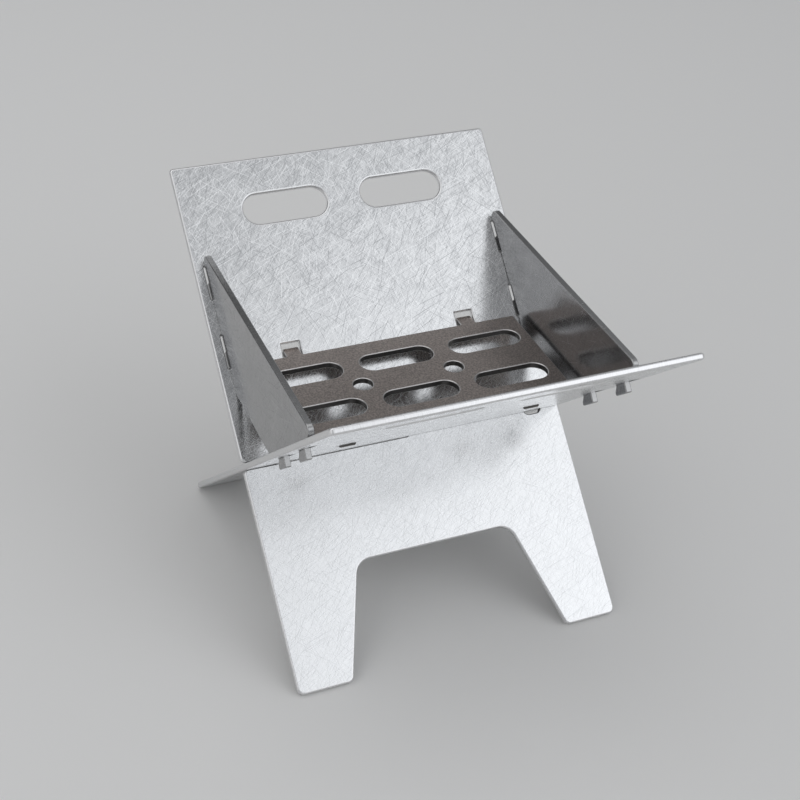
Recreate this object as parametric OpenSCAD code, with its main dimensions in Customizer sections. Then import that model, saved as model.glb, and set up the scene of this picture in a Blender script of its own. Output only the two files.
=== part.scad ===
// Flat-pack twig stove: two crossed plates, two side panels and a fire grate, cut from one steel sheet.
// Millimetres, +Z up. The origin is on the ground, straight under the line where the plates cross.
// Lengths along a plate are measured from the crossing line, upwards as positive.

/* [Sheet] */
// Thickness of the steel sheet
sheet_t = 1; // [0.6:0.1:1.4]
// Angle of both plates above the ground, in degrees
tilt = 42; // [38:1:48]

/* [Plates] */
// Width of a plate
plate_w = 54; // [48:1:70]
// Length of a plate above the crossing line
upper_len = 48.4; // [44:0.2:60]
// Length of a plate below the crossing line
lower_len = 35.5; // [30:0.5:45]
// Radius of the two top corners
top_corner_r = 0.6; // [0.2:0.1:3]
// Length of a vent slot, end to end
vent_len = 14; // [8:0.5:16]
// Height of a vent slot
vent_h = 5; // [3:0.5:7]
// Metal between the two vent slots
vent_web = 5.8; // [3:0.2:10]
// Metal between the top edge and the vent slots
vent_top = 5.95; // [3:0.05:9]

/* [Legs] */
// Width of each foot at the ground
foot_w = 8.8; // [5:0.2:12]
// Radius of the foot corners
foot_corner_r = 1.1; // [0.3:0.1:2]
// Height of the arch between the feet, along the plate
arch_h = 17.6; // [10:0.2:24]
// Width of the arch at its top, before rounding
arch_top_w = 25.8; // [16:0.2:30]
// Radius of the arch's two top corners
arch_r = 2.6; // [0.5:0.1:5]

/* [Half-lap slit] */
// Free play across the slit
slit_play = 0.1; // [0.05:0.05:0.4]
// Radius of the slit's mouth on the side of the vents
mouth_upper_r = 0.9; // [0.2:0.1:2]
// Radius of the slit's mouth on the side of the feet
mouth_lower_r = 0.6; // [0.2:0.1:2]
// Length of the locking hole
lock_len = 2.9; // [2:0.1:5]
// Distance from the plate's side edge to the middle of the locking hole
lock_inset = 4.8; // [3:0.1:8]
// How far the locking hole reaches below the line of the slit
lock_below = 0.5; // [0.2:0.1:1]
// Height of the slit's locking tooth
lock_tooth_h = 0.3; // [0.1:0.05:0.5]

/* [Side panels] */
// Distance from the plate's side edge to the middle of a side panel
panel_inset = 2.25; // [1.8:0.05:5]
// Height along the plate of a lower hook's underside
hook_low = 15.5; // [12:0.5:20]
// Distance along the plate from a lower hook to an upper one
hook_pitch = 11.2; // [8:0.2:14]
// Width of a hook's neck along the plate
hook_neck = 2.7; // [1.5:0.1:4]
// Straight part of a hook's neck outside the plate
hook_throat = 0.2; // [0.1:0.1:1]
// How far a hook's toe hangs below its neck
hook_drop = 0.7; // [0.2:0.1:1.2]
// Width of a hook's toe, away from the plate
hook_toe = 0.6; // [0.5:0.1:1.5]
// Radius of the hooks' outer corners
hook_corner_r = 0.25; // [0.05:0.05:0.4]
// Panel above the upper hooks, along the plate
panel_head = 5.6; // [3:0.1:9]
// Panel below the lower hooks, along the plate
panel_tail = 4.5; // [1:0.1:8]
// Radius of the panel's corners
panel_corner_r = 1.1; // [0.3:0.1:2]

/* [Fire grate] */
// Height along the plate at which the grate's underside meets it
grate_low = 14.85; // [12:0.05:24]
// Gap between the grate and each side panel
grate_side_gap = 1.25; // [0.5:0.05:3]
// Metal between the grate's sides and its slots
grate_side_rim = 1.7; // [1:0.1:4]
// Metal between the grate's long edges and its slots
grate_edge_rim = 3.4; // [2:0.1:5]
// Metal between two slots of a row
grate_web = 3; // [2:0.1:6]
// Metal between the two rows
grate_mid_web = 5.7; // [4:0.1:8]
// Diameter of the round holes between the rows
grate_hole_d = 3.1; // [2:0.1:3.6]
// Distance from the plate's side edge to the middle of a grate tab
tab_inset = 12.1; // [8:0.1:18]
// Width of a grate tab
tab_w = 2.6; // [1.6:0.1:5]
// Length of a grate tab
tab_len = 2.2; // [1.6:0.1:2.6]
// Radius of the grate's outer corners
grate_corner_r = 0.5; // [0.1:0.1:1.5]
// Radius of the tab corners
tab_corner_r = 0.3; // [0.05:0.05:0.6]

/* [Fits] */
// Free play on each side of a tab or a panel in its slot
slot_play = 0.2; // [0.1:0.05:0.4]
// Play under a hook or a tab that sits in its slot
seat_play = 0.1; // [0.02:0.02:0.2]
// Play between a plate's inner face and the edges that lie along it
face_play = 0.15; // [0.05:0.05:0.4]

/* [Hidden] */
$fn = 64;
// Straight steps in a rounded corner
arc_steps = 8;
steel = "#b9bdc0";
dark_steel = "#8f8d8b";

half_w = plate_w / 2;
half_t = sheet_t / 2;
// The lower corners of the feet stand on the ground
cross_z = lower_len * sin(tilt) + half_t * cos(tilt);
// Width at which one sloping sheet passes through the other
slit_w = sheet_t / sin(2 * tilt) + sheet_t * abs(cos(2 * tilt) / sin(2 * tilt)) + slit_play;
lock_x = half_w - lock_inset;
lock_h = slit_w + lock_below;
// The tooth is shorter than the hole, to clear its round ends, and its flanks lean
tooth_len = lock_len - slit_w - lock_below / 2;
tooth_flank = lock_tooth_h / 2;
vent_x = (vent_len + vent_web) / 2;
vent_s = upper_len - vent_top - vent_h / 2;

panel_x = half_w - panel_inset;
hook_s = [hook_low, hook_low + hook_pitch];
// Depths behind the plate's inner face: the start of a hook's toe, whose inner edge is upright, and its end
toe_depth = sheet_t + hook_throat + hook_drop / tan(tilt);
hook_depth = toe_depth + hook_toe;
panel_top_s = hook_s[1] + hook_neck + panel_head;
panel_bottom_s = hook_low - panel_tail;
// A panel drops straight down, so its hooks slide along the plate by this much on their way through
hook_slide = hook_depth * tan(tilt);

// Side view, measured from the crossing: a point s up the back plate and d behind its inner face
function on_plate(s, d) = [
    s * cos(tilt) - (half_t - d) * sin(tilt),
    s * sin(tilt) + (half_t - d) * cos(tilt)
];
// Height along the plate and depth of the plate's inner face at height z above the crossing
function inner_s(z) = (z - half_t * cos(tilt)) / sin(tilt);
function inner_y(z) = on_plate(inner_s(z), 0)[0];

grate_bottom_z = on_plate(grate_low, 0)[1];
grate_top_z = grate_bottom_z + sheet_t;
grate_half_w = panel_x - half_t - grate_side_gap;
grate_half_d = inner_y(grate_bottom_z) - face_play;
tab_x = half_w - tab_inset;
tab_end_y = grate_half_d + tab_len;
// The tabs leave their slots when the grate is lifted straight up to this height
tab_clear_z = grate_top_z + (tab_end_y - inner_y(grate_top_z)) * tan(tilt);
tab_slot_low = grate_low - seat_play;
tab_slot_high = inner_s(tab_clear_z) + slot_play;
grate_slot_len = (2 * grate_half_w - 2 * grate_side_rim - 2 * grate_web) / 3;
grate_slot_w = (2 * grate_half_d - 2 * grate_edge_rim - grate_mid_web) / 2;
grate_pitch = grate_slot_len + grate_web;
grate_row_y = (grate_mid_web + grate_slot_w) / 2;

function unit(v) = v / norm(v);

// Points of the arc that rounds corner b of the path a, b, c to radius r
function corner_arc(a, b, c, r) =
    let (
        u = unit(a - b),
        v = unit(c - b),
        half = acos(u * v) / 2,
        centre = b + unit(u + v) * r / sin(half),
        first = b + u * r / tan(half) - centre,
        last = b + v * r / tan(half) - centre,
        start = atan2(first[1], first[0]),
        turn = (atan2(last[1], last[0]) - start + 540) % 360 - 180
    )
    [for (i = [0:arc_steps]) let (angle = start + turn * i / arc_steps) centre + r * [cos(angle), sin(angle)]];

// Closed outline from a list of [point, corner radius]
function rounded(path) =
    let (n = len(path))
    [for (i = [0:n - 1])
        each path[i][1] > 0
            ? corner_arc(path[(i + n - 1) % n][0], path[i][0], path[(i + 1) % n][0], path[i][1])
            : [path[i][0]]];

// The same path seen in a mirror on its second axis, walked the other way
function mirrored(path) = [for (i = [len(path) - 1:-1:0]) [[-path[i][0][0], path[i][0][1]], path[i][1]]];

// Slot with round ends, centred on the origin
module obround(length, width) {
    square([length - width, width], center = true);
    for (side = [-1, 1]) translate([side * (length - width) / 2, 0]) circle(d = width);
}

// The same path turned half round in its plane
function turned(path) = [for (corner = path) [-corner[0], corner[1]]];

// The half-lap slit, from the upper side of its mouth round to the lower side, with its locking tooth
function slit_path() = [
    [[-half_w, slit_w / 2], mouth_upper_r],
    [[-lock_x - tooth_len / 2, slit_w / 2], 0],
    [[-lock_x - tooth_len / 2 + tooth_flank, slit_w / 2 - lock_tooth_h], 0],
    [[-lock_x + tooth_len / 2 - tooth_flank, slit_w / 2 - lock_tooth_h], 0],
    [[-lock_x + tooth_len / 2, slit_w / 2], 0],
    [[slit_play, slit_w / 2], 0],
    [[slit_play, -slit_w / 2], 0],
    [[-half_w, -slit_w / 2], mouth_lower_r]
];

// Right leg, from the top of the arch to the outer side of the foot
function leg_path() = [
    [[arch_top_w / 2, arch_h - lower_len], arch_r],
    [[half_w - foot_w, -lower_len], foot_corner_r],
    [[half_w, -lower_len], foot_corner_r]
];

function plate_path() = concat(
    [[[half_w, upper_len], top_corner_r], [[-half_w, upper_len], top_corner_r]],
    slit_path(),
    mirrored(leg_path()),
    leg_path()
);

// A hook in the side view, from the top of its neck round to the underside
function hook_path(s) = [
    [on_plate(s + hook_neck, -face_play), 0],
    [on_plate(s + hook_neck, hook_depth), hook_corner_r],
    [on_plate(s - hook_drop, hook_depth), hook_corner_r],
    [on_plate(s - hook_drop, toe_depth), hook_corner_r],
    [on_plate(s, sheet_t + hook_throat), 0],
    [on_plate(s, -face_play), 0]
];

// Edge of a side panel along the back plate, from its top corner to its bottom corner
function panel_side_path() = concat(
    [[on_plate(panel_top_s, -face_play), panel_corner_r]],
    hook_path(hook_s[1]),
    hook_path(hook_s[0]),
    [[on_plate(panel_bottom_s, -face_play), panel_corner_r]]
);

// A grate tab on the edge towards the back plate, from right to left
function tab_path(x) = [
    [[x + tab_w / 2, grate_half_d], 0],
    [[x + tab_w / 2, tab_end_y], tab_corner_r],
    [[x - tab_w / 2, tab_end_y], tab_corner_r],
    [[x - tab_w / 2, grate_half_d], 0]
];

function grate_edge_path() = concat(
    [[[grate_half_w, grate_half_d], grate_corner_r]],
    tab_path(tab_x),
    tab_path(-tab_x),
    [[[-grate_half_w, grate_half_d], grate_corner_r]]
);

// Sloping plate that rises to the back: vents above, half-lap slit to the middle, two feet below
module plate() {
    translate([0, 0, cross_z]) rotate([tilt, 0, 0]) linear_extrude(sheet_t, center = true) difference() {
        polygon(rounded(plate_path()));
        translate([lock_x, -lock_below / 2]) obround(lock_len, lock_h);
        for (side = [-1, 1]) {
            translate([side * vent_x, vent_s]) obround(vent_len, vent_h);
            translate([side * tab_x - tab_w / 2 - slot_play, tab_slot_low])
                square([tab_w + 2 * slot_play, tab_slot_high - tab_slot_low]);
            for (s = hook_s) translate([side * panel_x - half_t - slot_play, s - seat_play])
                square([sheet_t + 2 * slot_play, hook_neck + hook_slide + slot_play + seat_play]);
        }
    }
}

module side_panel() {
    translate([0, 0, cross_z]) rotate([90, 0, 90]) linear_extrude(sheet_t, center = true)
        polygon(rounded(concat(panel_side_path(), mirrored(panel_side_path()))));
}

module back_plate() color(steel) plate();

// The front plate is the same piece, turned half round
module front_plate() color(steel) rotate([0, 0, 180]) plate();

module left_side_panel() color(steel) translate([-panel_x, 0, 0]) side_panel();

module right_side_panel() color(steel) translate([panel_x, 0, 0]) side_panel();

module fire_grate() {
    color(dark_steel) translate([0, 0, cross_z + grate_bottom_z]) linear_extrude(sheet_t) difference() {
        polygon(rounded(concat(grate_edge_path(), turned(grate_edge_path()))));
        for (row = [-1, 1], column = [-1:1])
            translate([column * grate_pitch, row * grate_row_y]) obround(grate_slot_len, grate_slot_w);
        for (side = [-1, 1]) translate([side * grate_pitch / 2, 0]) circle(d = grate_hole_d);
    }
}

back_plate();
front_plate();
left_side_panel();
right_side_panel();
fire_grate();
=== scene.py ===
"""Looks of a flat-pack twig stove: five sheets of scratched stainless steel, hooked together."""

import math

import bmesh
import bpy
from mathutils import Matrix, Vector


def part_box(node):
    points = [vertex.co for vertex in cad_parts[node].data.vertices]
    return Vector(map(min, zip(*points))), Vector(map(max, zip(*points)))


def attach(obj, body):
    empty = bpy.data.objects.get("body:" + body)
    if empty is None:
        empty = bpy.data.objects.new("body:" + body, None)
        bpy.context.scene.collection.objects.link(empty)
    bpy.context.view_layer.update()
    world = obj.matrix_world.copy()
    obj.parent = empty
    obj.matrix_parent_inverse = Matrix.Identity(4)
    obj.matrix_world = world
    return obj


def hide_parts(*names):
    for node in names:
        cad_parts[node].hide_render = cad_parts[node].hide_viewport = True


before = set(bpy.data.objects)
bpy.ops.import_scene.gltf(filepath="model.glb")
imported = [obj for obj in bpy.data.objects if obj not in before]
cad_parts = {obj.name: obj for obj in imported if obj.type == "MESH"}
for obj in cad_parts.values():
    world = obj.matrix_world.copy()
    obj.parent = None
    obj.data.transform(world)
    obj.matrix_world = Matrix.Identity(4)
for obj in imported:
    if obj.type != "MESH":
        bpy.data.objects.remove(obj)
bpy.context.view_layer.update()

MM = 0.001

# Each sheet: the CAD node that it dresses, the body that it rides on, its record slot and its length axis
SHEETS = {
    "back_plate_sheet": ("back_plate", "frame", "plate_steel", (1, 0, 0)),
    "front_plate_sheet": ("front_plate", "frame", "plate_steel", (-1, 0, 0)),
    "left_panel_sheet": ("left_side_panel", "left_panel", "panel_steel", (0, -1, 0)),
    "right_panel_sheet": ("right_side_panel", "right_panel", "panel_steel", (0, 1, 0)),
    "grate_sheet": ("fire_grate", "grate", "grate_steel", (1, 0, 0)),
}

# Rounded edges: the largest radius by record slot, the least, and the most as a share of the gap beside it
EDGE_ROUND = {"plate_steel": 0.34 * MM, "panel_steel": 0.18 * MM, "grate_steel": 0.14 * MM}
EDGE_ROUND_LEAST = 0.08 * MM
GAP_SHARE = 0.09
EDGE_SEGMENTS = 3
# The sides of a gap narrower than this get a darker colour, which is painted shade
NARROW_GAP = 2.0 * MM
# Order of the materials on a sheet: its flat faces, rounded edges, cut walls and narrow gaps
FACE_SLOT = 0
EDGE_SLOT = 1
WALL_SLOT = 2
GAP_SLOT = 3

# A sheet that faces down more than this is turned over
DOWNWARD = -0.5
# Points of an outline that are closer than this are one
WELD = 0.0005 * MM
# A face that looks up more than this belongs to the sheet's upper side
UPWARD = 0.999
# An outline that turns less than this at a point is straight there
STRAIGHT = math.radians(0.05)
# An outline that turns more than this has a corner, which is eased to a radius, within a share of its sides
SHARP = math.radians(25)
CORNER_EASE = 0.15 * MM
EASE_SHARE = 0.4
EASE_STEPS = 4
# The least cosine by which an offset at a corner is divided
LEAST_MITRE = 0.5
# Two lines whose cross product is below this are parallel
PARALLEL = 1e-12

# Finish of the sheets' faces, with lengths in millimetres and angles in degrees.
# The tone runs from dark to light, with its mean at shade. Clouds and grain each have a scale and a tone.
# A scratch layer: angle, length, spacing, half width, spread of the angle, strength.
# Wear: the heights along the sheet at which scratches are least and full, and the least share of them.
LOOKS = {
    "plate_steel": {
        "dark": (0.44, 0.446, 0.454),
        "light": (0.99, 0.995, 1.0),
        "shade": 0.57,
        "wear": (-20, 38, 0.12),
        "scratches": [
            (46, 2.6, 0.15, 0.045, 12, 0.75),
            (20, 2.8, 0.16, 0.045, 12, 0.70),
            (75, 2.2, 0.17, 0.045, 12, 0.55),
            (106, 2.2, 0.16, 0.045, 12, 0.60),
            (140, 2.4, 0.17, 0.045, 12, 0.50),
            (48, 6.0, 0.5, 0.055, 18, 1.50),
            (22, 8.0, 0.5, 0.055, 18, 1.50),
            (66, 6.0, 0.6, 0.055, 20, 1.30),
            (108, 5.0, 0.6, 0.055, 30, 1.20),
            (145, 7.0, 0.8, 0.055, 30, 1.20),
        ],
        "cloud_scale": 0.10,
        "cloud_tone": 0.12,
        "grain_scale": 5.0,
        "grain_tone": 0.20,
        "rough": 0.19,
        "rough_cloud": 0.04,
        "rough_scratch": 0.08,
        "depth": 0.001 * MM,
    },
    "panel_steel": {
        # The panels' tone, darker than the plates' though the steel is the same, is a painted dark reflection
        # of their surroundings
        "dark": (0.21, 0.21, 0.215),
        "light": (0.555, 0.555, 0.56),
        "shade": 0.5,
        "scratches": [
            (75, 3.0, 0.18, 0.050, 10, 0.35),
            (12, 3.0, 0.20, 0.050, 10, 0.35),
            (130, 2.4, 0.22, 0.050, 10, 0.30),
            (60, 6.0, 0.7, 0.050, 40, 0.70),
            (15, 7.0, 0.9, 0.050, 40, 0.70),
            (120, 6.0, 1.2, 0.050, 50, 0.70),
        ],
        "cloud_scale": 0.15,
        "cloud_tone": 0.25,
        "grain_scale": 4.0,
        "grain_tone": 0.5,
        "rough": 0.17,
        "rough_cloud": 0.04,
        "rough_scratch": 0.12,
        "depth": 0.001 * MM,
    },
    "grate_steel": {
        # The grate's darker grey is its own colour; its warm brown tint is a painted reflection of warm
        # surroundings
        "dark": (0.335, 0.296, 0.275),
        "light": (0.59, 0.522, 0.486),
        "shade": 0.5,
        "scratches": [
            (5, 1.6, 0.18, 0.050, 10, 0.30),
            (80, 1.4, 0.18, 0.050, 10, 0.30),
            (40, 5.0, 1.4, 0.055, 60, 0.35),
        ],
        "cloud_scale": 0.14,
        "cloud_tone": 0.22,
        "grain_scale": 3.6,
        "grain_tone": 3.2,
        "rough": 0.3,
        "rough_cloud": 0.05,
        "rough_scratch": 0.04,
        "depth": 0.002 * MM,
    },
}
CLOUD_DETAIL = 3.0
GRAIN_DETAIL = 2.0

# Inputs of the scratches' node group
SCRATCH_PORTS = ("Angle", "Length", "Spacing", "Width", "Spread", "Bow")
# How much a scratch curves, and the shares of its length from its middle at which it starts to fade and ends
SCRATCH_BOW = 0.008
SCRATCH_FADE = (0.2, 0.55)
# The wander of the scratches' coordinates
WARP_SCALE = 0.12
WARP_REACH = 0.3
WARP_DETAIL = 1.0
# The mean of a noise colour and of a random share
MEAN = 0.5

# Colour and roughness of the rounded edges, of the cut walls between them, and of both in narrow gaps, whose
# darker colour is painted shade
EDGES = {
    "plate_steel": ((0.82, 0.82, 0.825), 0.30),
    # The panels' edges, darker than the plates', are a painted dark reflection
    "panel_steel": ((0.42, 0.42, 0.42), 0.24),
    "grate_steel": ((0.66, 0.645, 0.635), 0.30),
}
# The grate's cut walls are near black, which is painted shade inside its slots; the other sheets' walls keep
# their edges' colour
WALLS = {**EDGES, "grate_steel": ((0.13, 0.125, 0.12), 0.36)}
# Narrow gaps: a darker colour on their sides, painted shade
PAINTED_SHADE_GAP_EDGE = ((0.26, 0.26, 0.262), 0.40)
# Striations of these edges, drawn out across the sheet's thickness
STRIPE_DRAW = (1.0, 1.0, 0.12)
STRIPE_SCALE = 6.0
STRIPE_DETAIL = 3.0
STRIPE_DULL = 0.82
STRIPE_BRIGHT = 1.14
STRIPE_ROUGH = 0.16
STRIPE_DEPTH = 0.02 * MM

# Camera, in the row frame
CAMERA_AT = (-0.08091, -0.17312, 0.16718)
CAMERA_HEADING = math.radians(-26.08)
CAMERA_PITCH = math.radians(37.0)
CAMERA_ROLL = math.radians(4.47)
CAMERA_LENS = 67.77
CAMERA_SENSOR = 36.0
CAMERA_SHIFT = (-0.033, 0.05)
CAMERA_CLIP = (0.01, 20.0)

# Studio
FLOOR_SIZE = 40.0
FLOOR_COLOUR = (0.80, 0.795, 0.785, 1)
FLOOR_ROUGH = 0.9
FLOOR_GLOSS = 0.1
SKY_LIT = (0.457, 0.466, 0.479)
SKY_DARK = (0.01, 0.01, 0.01)
# Soft parts of the sky: the direction of each, the cosines at which it starts and is full, and its strength
KEY_DIRECTION = Vector((0.56, -0.66, 0.50)).normalized()
FILL_DIRECTION = Vector((-0.50, 0.45, 0.74)).normalized()
SKY_PARTS = {
    "front": (KEY_DIRECTION, (-0.68, 0.70), 1.0),
    "window": (KEY_DIRECTION, (0.80, 0.97), 1.85),
    "fill": (FILL_DIRECTION, (0.70, 1.0), 0.5),
}
# Two wide lamps, which the flat faces don't mirror to the camera: direction to each, its width and power
LAMPS = {
    "top": (Vector((-0.10, 0.20, 0.97)).normalized(), 0.50, 0.44),
    "side": (Vector((-0.80, -0.15, 0.57)).normalized(), 0.70, 0.75),
}
LAMP_DISTANCE = 0.6


def socket(value):
    """The first output of a node, or the socket itself."""
    return value.outputs[0] if isinstance(value, bpy.types.Node) else value


def add(tree, kind, inputs=None, **settings):
    """A new node with its settings, and its inputs linked or set."""
    node = tree.nodes.new(kind)
    for name, value in settings.items():
        setattr(node, name, value)
    for name, value in (inputs or {}).items():
        port = node.inputs[name]
        if isinstance(value, (bpy.types.Node, bpy.types.NodeSocket)):
            tree.links.new(socket(value), port)
        else:
            port.default_value = value
    return node


def math_node(tree, operation, *values):
    """A sum, product or other result of one to three values."""
    return add(tree, "ShaderNodeMath", dict(enumerate(values)), operation=operation)


def vector_node(tree, operation, *values):
    """A sum, product or other result of two vectors."""
    return add(tree, "ShaderNodeVectorMath", dict(enumerate(values)), operation=operation)


def scaled(tree, vector, scale):
    """A vector times a number."""
    return add(tree, "ShaderNodeVectorMath", {0: vector, "Scale": scale}, operation="SCALE")


def total(tree, values):
    """The sum of several values."""
    result = values[0]
    for value in values[1:]:
        result = math_node(tree, "ADD", result, value)
    return result


def spread(tree, share, reach, middle):
    """A value that varies by a reach about its middle, as a share from 0 to 1 says."""
    return math_node(tree, "MULTIPLY_ADD", share, reach, middle - reach / 2)


def smooth_step(tree, value, limits, results):
    """From one result to the other as a value passes between two limits, with a soft start and end."""
    inputs = {"Value": value, "From Min": limits[0], "From Max": limits[1]}
    inputs["To Min"], inputs["To Max"] = results
    return add(tree, "ShaderNodeMapRange", inputs, interpolation_type="SMOOTHSTEP")


def noise(tree, place, scale, detail):
    """A cloudy pattern."""
    return add(tree, "ShaderNodeTexNoise", {"Vector": place, "Scale": scale, "Detail": detail})


def mix_colours(tree, share, dark, light, clamp=True):
    """The colour between two others, or past the second where the share isn't clamped."""
    node = tree.nodes.new("ShaderNodeMix")
    node.data_type = "RGBA"
    node.clamp_factor = clamp
    ports = {port.identifier: port for port in node.inputs}
    ports["A_Color"].default_value = (*dark, 1)
    ports["B_Color"].default_value = (*light, 1)
    tree.links.new(socket(share), ports["Factor_Float"])
    return next(port for port in node.outputs if port.identifier == "Result_Color")


def scratch_group():
    """Node group of fine scratches, one in each cell of a long narrow pattern: the mask of the scratches,
    and a tone either side of zero that is the same all along one scratch."""
    tree = bpy.data.node_groups.new("scratches", "ShaderNodeTree")
    ports = tree.interface
    ports.new_socket("Vector", in_out="INPUT", socket_type="NodeSocketVector")
    for name in SCRATCH_PORTS:
        ports.new_socket(name, in_out="INPUT", socket_type="NodeSocketFloat")
    for name in ("Mask", "Tone"):
        ports.new_socket(name, in_out="OUTPUT", socket_type="NodeSocketFloat")
    given = add(tree, "NodeGroupInput").outputs
    turn = {"Vector": given["Vector"], "Angle": math_node(tree, "MULTIPLY", given["Angle"], -1.0)}
    turned = add(tree, "ShaderNodeVectorRotate", turn, rotation_type="Z_AXIS")
    pitch = add(tree, "ShaderNodeCombineXYZ", {"X": given["Length"], "Y": given["Spacing"], "Z": 1.0})
    drawn = vector_node(tree, "DIVIDE", turned, pitch)
    cells = add(tree, "ShaderNodeTexVoronoi", {"Vector": drawn, "Scale": 1.0}, voronoi_dimensions="2D")
    chance = add(tree, "ShaderNodeSeparateColor", {"Color": cells.outputs["Color"]}).outputs
    offset = vector_node(tree, "SUBTRACT", drawn, cells.outputs["Position"])
    share = add(tree, "ShaderNodeSeparateXYZ", {"Vector": offset}).outputs
    along = math_node(tree, "MULTIPLY", share["X"], given["Length"])
    across = math_node(tree, "MULTIPLY", share["Y"], given["Spacing"])
    lean = math_node(tree, "MULTIPLY", math_node(tree, "SUBTRACT", chance["Red"], MEAN), given["Spread"])
    curl = math_node(tree, "MULTIPLY", math_node(tree, "SUBTRACT", chance["Blue"], MEAN), given["Bow"])
    slope = math_node(tree, "MULTIPLY_ADD", curl, along, lean)
    aside = math_node(tree, "ABSOLUTE", math_node(tree, "MULTIPLY_ADD", along, slope, across))
    line = smooth_step(tree, aside, (0.0, given["Width"]), (1.0, 0.0))
    ends = smooth_step(tree, math_node(tree, "ABSOLUTE", share["X"]), SCRATCH_FADE, (1.0, 0.0))
    even = math_node(tree, "MULTIPLY_ADD", chance["Green"], 2.0, -1.0)
    tone = math_node(tree, "MULTIPLY", even, math_node(tree, "ABSOLUTE", even))
    result = add(tree, "NodeGroupOutput")
    tree.links.new(socket(math_node(tree, "MULTIPLY", line, ends)), result.inputs["Mask"])
    tree.links.new(socket(tone), result.inputs["Tone"])
    return tree


def warped(tree, place):
    """Coordinates that wander a little, so that straight lines come out slightly bent."""
    wander = noise(tree, place, WARP_SCALE, WARP_DETAIL).outputs["Color"]
    offset = vector_node(tree, "SUBTRACT", wander, (MEAN, MEAN, MEAN))
    return vector_node(tree, "ADD", place, scaled(tree, offset, WARP_REACH))


def in_millimetres(tree):
    """A sheet's own coordinates, X and Y in its plane."""
    return scaled(tree, add(tree, "ShaderNodeTexCoord").outputs["Object"], 1 / MM)


def new_metal(name):
    """A metal, with its node tree and its shader."""
    material = bpy.data.materials.new(name)
    material.use_nodes = True
    shader = material.node_tree.nodes["Principled BSDF"]
    shader.inputs["Metallic"].default_value = 1
    return material, material.node_tree, shader


def set_bump(tree, shader, height, depth):
    """Raises a shader's surface by a pattern of heights."""
    bump = add(tree, "ShaderNodeBump", {"Height": height, "Strength": 1.0, "Distance": depth})
    tree.links.new(bump.outputs["Normal"], shader.inputs["Normal"])


def scratched_steel(name, look, scratches):
    """Sheet steel with fine scratches that cross in every direction, a cloudy polish and a fine grain."""
    material, tree, shader = new_metal(name)
    place = in_millimetres(tree)
    bent = warped(tree, place)
    tones = []
    masks = []
    for angle, length, spacing, width, lean, gain in look["scratches"]:
        layer = add(tree, "ShaderNodeGroup", node_tree=scratches)
        tree.links.new(socket(bent), layer.inputs["Vector"])
        values = math.radians(angle), length, spacing, width, math.radians(lean), SCRATCH_BOW
        for port, value in zip(SCRATCH_PORTS, values):
            layer.inputs[port].default_value = value
        mask, tone = layer.outputs
        tones.append(math_node(tree, "MULTIPLY", math_node(tree, "MULTIPLY", mask, tone), gain))
        masks.append(math_node(tree, "MULTIPLY", mask, gain))
    cloud = noise(tree, place, look["cloud_scale"], CLOUD_DETAIL).outputs["Fac"]
    grain = noise(tree, place, look["grain_scale"], GRAIN_DETAIL).outputs["Fac"]
    tones.append(spread(tree, grain, look["grain_tone"], 0.0))
    scratched = total(tree, tones)
    if "wear" in look:
        low, high, least = look["wear"]
        height = add(tree, "ShaderNodeSeparateXYZ", {"Vector": place}).outputs["Y"]
        wear = smooth_step(tree, height, (low, high), (least, 1.0))
        scratched = math_node(tree, "MULTIPLY", scratched, wear)
    shade = math_node(tree, "ADD", scratched, spread(tree, cloud, look["cloud_tone"], look["shade"]))
    tree.links.new(mix_colours(tree, shade, look["dark"], look["light"]), shader.inputs["Base Color"])
    polish = spread(tree, cloud, look["rough_cloud"], look["rough"])
    rough = math_node(tree, "MULTIPLY_ADD", total(tree, masks), look["rough_scratch"], polish)
    tree.links.new(socket(rough), shader.inputs["Roughness"])
    set_bump(tree, shader, scratched, look["depth"])
    return material


def cut_edge(name, colour, roughness):
    """The cut edge of a sheet, with fine striations across its thickness."""
    material, tree, shader = new_metal(name)
    drawn = vector_node(tree, "MULTIPLY", in_millimetres(tree), STRIPE_DRAW)
    stripes = noise(tree, drawn, STRIPE_SCALE, STRIPE_DETAIL).outputs["Fac"]
    dull = [part * STRIPE_DULL for part in colour]
    bright = [min(part * STRIPE_BRIGHT, 1) for part in colour]
    tree.links.new(mix_colours(tree, stripes, dull, bright), shader.inputs["Base Color"])
    rough = spread(tree, stripes, STRIPE_ROUGH, roughness)
    tree.links.new(socket(rough), shader.inputs["Roughness"])
    set_bump(tree, shader, stripes, STRIPE_DEPTH)
    return material


def sheet_axes(mesh, along):
    """Turns a sheet's own axes into the row frame: X along it, Z out of its widest face."""
    normal = max(mesh.polygons, key=lambda face: face.area).normal.copy()
    if normal.z < DOWNWARD:
        normal.negate()
    x = Vector(along)
    x = (x - normal * x.dot(normal)).normalized()
    return Matrix((x, normal.cross(x), normal)).transposed().to_4x4()


def outlines(mesh, to_sheet):
    """The closed outlines of a flat sheet's upper face, in its own axes, metal on the left, and half its
    thickness."""
    bm = bmesh.new()
    bm.from_mesh(mesh)
    bmesh.ops.transform(bm, matrix=to_sheet, verts=bm.verts)
    bmesh.ops.remove_doubles(bm, verts=bm.verts, dist=WELD)
    bm.normal_update()
    # A dict keeps the faces in their order, so that every run gives the same mesh
    top = dict.fromkeys(face for face in bm.faces if face.normal.z > UPWARD)
    half_t = max(vertex.co.z for vertex in bm.verts)
    following = {}
    for face in top:
        for corner in face.loops:
            if corner.link_loop_radial_next.face not in top:
                following[corner.vert] = corner.link_loop_next.vert
    loops = []
    while following:
        vertex = next(iter(following))
        loop = []
        while vertex in following:
            loop.append(vertex.co.to_2d())
            vertex = following.pop(vertex)
        loops.append(loop)
    bm.free()
    return loops, half_t


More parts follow.
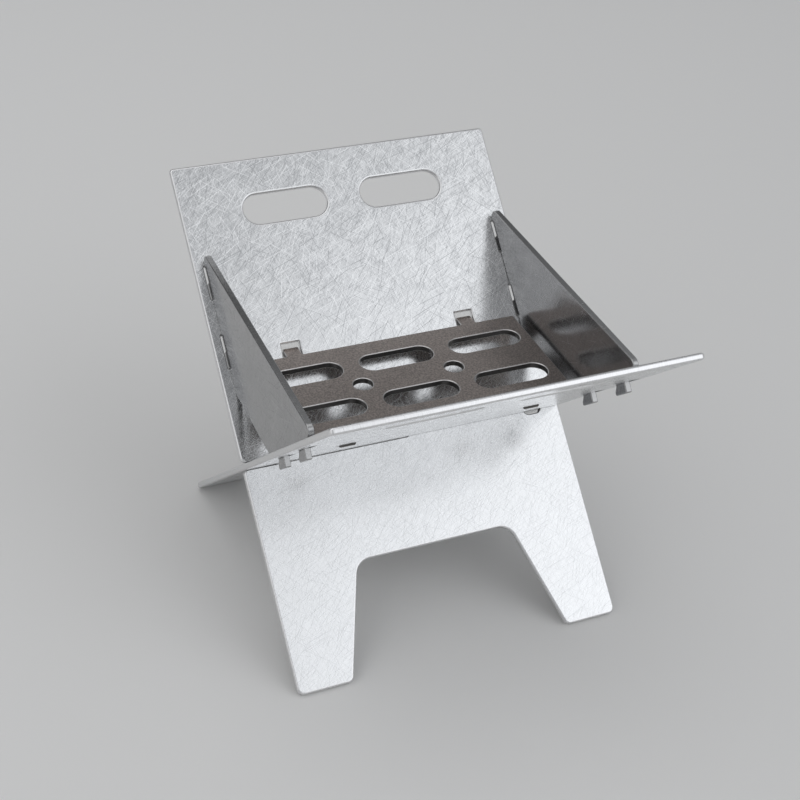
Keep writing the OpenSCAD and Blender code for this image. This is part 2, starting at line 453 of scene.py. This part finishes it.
def turn_at(loop, i):
    """How far an outline turns at its corner i, positive to the left, with the lengths of its two sides."""
    back = loop[i] - loop[i - 1]
    ahead = loop[(i + 1) % len(loop)] - loop[i]
    return math.atan2(back.cross(ahead), back.dot(ahead)), back.length, ahead.length


def eased(loop):
    """The same outline without needless points, and with each sharp corner eased to a small radius."""
    loop = [point for i, point in enumerate(loop) if abs(turn_at(loop, i)[0]) > STRAIGHT]
    points = []
    for i, corner in enumerate(loop):
        turn, before, after = turn_at(loop, i)
        if abs(turn) < SHARP:
            points.append(corner)
            continue
        cut = min(CORNER_EASE * abs(math.tan(turn / 2)), before * EASE_SHARE, after * EASE_SHARE)
        start = corner + (loop[i - 1] - corner).normalized() * cut
        end = corner + (loop[(i + 1) % len(loop)] - corner).normalized() * cut
        for step in range(EASE_STEPS + 1):
            t = step / EASE_STEPS
            points.append(start * (1 - t) ** 2 + corner * 2 * t * (1 - t) + end * t ** 2)
    return points


def outward(loop):
    """At each point of an outline, the direction out of the metal, long enough to offset both sides alike."""
    ways = []
    for i, point in enumerate(loop):
        back = (point - loop[i - 1]).normalized()
        ahead = (loop[(i + 1) % len(loop)] - point).normalized()
        sides = Vector((back.y, -back.x)), Vector((ahead.y, -ahead.x))
        middle = (sides[0] + sides[1]).normalized()
        ways.append(middle / max(middle.dot(sides[0]), LEAST_MITRE))
    return ways


def rounding():
    """Steps round a sheet's edge, from the lower face to the upper: how far in, on which side and how far
    from its face, as shares of the radius, and the tilt of the normal."""
    steps = []
    for side in (-1, 1):
        for i in range(EDGE_SEGMENTS + 1):
            angle = math.pi / 2 * i / EDGE_SEGMENTS
            angle = angle - math.pi / 2 if side < 0 else angle
            steps.append((1 - math.cos(angle), side, 1 - abs(math.sin(angle)), angle))
    return steps


def gap_ahead(point, way, sides):
    """How far it is from a point of an outline, out of the metal, to the next metal in its way."""
    gap = math.inf
    for start, along in sides:
        turn = way.cross(along)
        if abs(turn) < PARALLEL:
            continue
        to_side = start - point
        ahead = to_side.cross(along) / turn
        if WELD < ahead < gap and 0 <= to_side.cross(way) / turn <= 1:
            gap = ahead
    return gap


def edge_strips(loops, half_t, most):
    """Points, normals and faces of the rounded edge along every outline, its radius less where the gap
    beside it is narrow, with the material of each face, and the pairs of points along the rims."""
    points = []
    normals = []
    faces = []
    kinds = []
    rims = {-1: [], 1: []}
    sides = [(loop[i - 1], loop[i] - loop[i - 1]) for loop in loops for i in range(len(loop))]
    for loop in loops:
        ways = outward(loop)
        gaps = [gap_ahead(point, way.normalized(), sides) for point, way in zip(loop, ways)]
        sizes = [max(min(gap * GAP_SHARE, most), EDGE_ROUND_LEAST) for gap in gaps]
        rings = []
        for inset, side, drop, angle in rounding():
            rings.append(len(points))
            for point, way, size in zip(loop, ways, sizes):
                flat = point - way * inset * size
                points.append((flat.x, flat.y, side * (half_t - drop * size)))
                normals.append((*(way.normalized() * math.cos(angle)), math.sin(angle)))
        count = len(loop)
        following = [(i, (i + 1) % count) for i in range(count)]
        for step, (below, above) in enumerate(zip(rings, rings[1:])):
            faces += [(below + i, below + j, above + j, above + i) for i, j in following]
            kind = WALL_SLOT if step == EDGE_SEGMENTS else EDGE_SLOT
            # Faces beside a narrow gap take the darker colour of painted shade
            kinds += [GAP_SLOT if max(gaps[i], gaps[j]) < NARROW_GAP else kind for i, j in following]
        rims[-1] += [(rings[0] + i, rings[0] + j) for i, j in following]
        rims[1] += [(rings[-1] + i, rings[-1] + j) for i, j in following]
    return points, normals, faces, kinds, rims


def make_sheet(name, node_name, body, slot, along, materials):
    """A CAD sheet built again from its outlines, with every edge rounded off."""
    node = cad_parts[node_name]
    low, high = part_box(node_name)
    place = Matrix.Translation((low + high) / 2) @ sheet_axes(node.data, along)
    loops, half_t = outlines(node.data, place.inverted())
    loops = [eased(loop) for loop in loops]
    points, normals, faces, kinds, rims = edge_strips(loops, half_t, EDGE_ROUND[slot])
    bm = bmesh.new()
    vertices = [bm.verts.new(point) for point in points]
    for face, kind in zip(faces, kinds):
        bm.faces.new([vertices[index] for index in face]).material_index = kind
    for side, rim in rims.items():
        edges = [bm.edges.get((vertices[a], vertices[b])) for a, b in rim]
        bmesh.ops.triangle_fill(bm, use_beauty=True, edges=edges, normal=(0, 0, side))
    bmesh.ops.recalc_face_normals(bm, faces=bm.faces)
    for face in bm.faces:
        face.smooth = True
    mesh = bpy.data.meshes.new(name)
    bm.to_mesh(mesh)
    bm.free()
    for material in materials:
        mesh.materials.append(material)
    mesh.normals_split_custom_set_from_vertices(normals)
    piece = bpy.data.objects.new(name, mesh)
    bpy.context.scene.collection.objects.link(piece)
    piece.matrix_world = place
    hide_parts(node_name)
    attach(piece, body)


def make_floor():
    """A plain matt floor under the stove."""
    half = FLOOR_SIZE / 2
    mesh = bpy.data.meshes.new("floor")
    corners = [(-half, -half, 0), (half, -half, 0), (half, half, 0), (-half, half, 0)]
    mesh.from_pydata(corners, [], [(0, 1, 2, 3)])
    floor = bpy.data.objects.new("floor", mesh)
    bpy.context.scene.collection.objects.link(floor)
    material = bpy.data.materials.new("floor_paint")
    material.use_nodes = True
    shader = material.node_tree.nodes["Principled BSDF"]
    shader.inputs["Base Color"].default_value = FLOOR_COLOUR
    shader.inputs["Roughness"].default_value = FLOOR_ROUGH
    shader.inputs["Specular IOR Level"].default_value = FLOOR_GLOSS
    mesh.materials.append(material)


def make_lamp(name, direction, width, power):
    """A round lamp that faces the stove."""
    lamp = bpy.data.lights.new(name, "AREA")
    lamp.shape = "DISK"
    lamp.size = width
    lamp.energy = power
    piece = bpy.data.objects.new(name, lamp)
    bpy.context.scene.collection.objects.link(piece)
    piece.location = direction * LAMP_DISTANCE
    piece.rotation_euler = direction.to_track_quat("Z", "Y").to_euler()


def make_sky():
    """A soft sky that brightens towards the front right, as by a large window, with a weak fill from the
    back left."""
    world = bpy.data.worlds.new("studio")
    bpy.context.scene.world = world
    world.use_nodes = True
    tree = world.node_tree
    way = add(tree, "ShaderNodeTexCoord").outputs["Generated"]
    parts = []
    for direction, limits, strength in SKY_PARTS.values():
        facing = vector_node(tree, "DOT_PRODUCT", way, direction).outputs["Value"]
        parts.append(smooth_step(tree, facing, limits, (0.0, strength)))
    colour = mix_colours(tree, total(tree, parts), SKY_DARK, SKY_LIT, clamp=False)
    tree.links.new(colour, tree.nodes["Background"].inputs["Color"])


def make_camera():
    """The camera at the photo's angle."""
    lens = bpy.data.cameras.new("camera")
    lens.lens = CAMERA_LENS
    lens.sensor_width = CAMERA_SENSOR
    lens.shift_x, lens.shift_y = CAMERA_SHIFT
    lens.clip_start, lens.clip_end = CAMERA_CLIP
    camera = bpy.data.objects.new("camera", lens)
    bpy.context.scene.collection.objects.link(camera)
    turn = Matrix.Rotation(CAMERA_HEADING, 4, "Z")
    tip = Matrix.Rotation(math.pi / 2 - CAMERA_PITCH, 4, "X")
    roll = Matrix.Rotation(CAMERA_ROLL, 4, "Z")
    camera.matrix_world = Matrix.Translation(CAMERA_AT) @ turn @ tip @ roll
    bpy.context.scene.camera = camera


def make_stove():
    """All five sheets with their materials."""
    scratches = scratch_group()
    materials = {}
    # The darker sides of narrow gaps, painted shade
    painted_shade_gap_edge = cut_edge("painted_shade_gap_edge", *PAINTED_SHADE_GAP_EDGE)
    for slot, look in LOOKS.items():
        face = scratched_steel(slot + "_face", look, scratches)
        edge = cut_edge(slot + "_edge", *EDGES[slot])
        # For the grate, the walls' near-black colour is painted shade
        wall = cut_edge(slot + "_wall", *WALLS[slot])
        materials[slot] = {FACE_SLOT: face, EDGE_SLOT: edge, WALL_SLOT: wall, GAP_SLOT: painted_shade_gap_edge}
    for name, (node_name, body, slot, along) in SHEETS.items():
        ordered = [material for _, material in sorted(materials[slot].items())]
        make_sheet(name, node_name, body, slot, along, ordered)


make_camera()
make_sky()
for lamp_name, lamp_values in LAMPS.items():
    make_lamp(lamp_name, *lamp_values)
make_floor()
make_stove()

bpy.context.scene.view_settings.view_transform = "Standard"
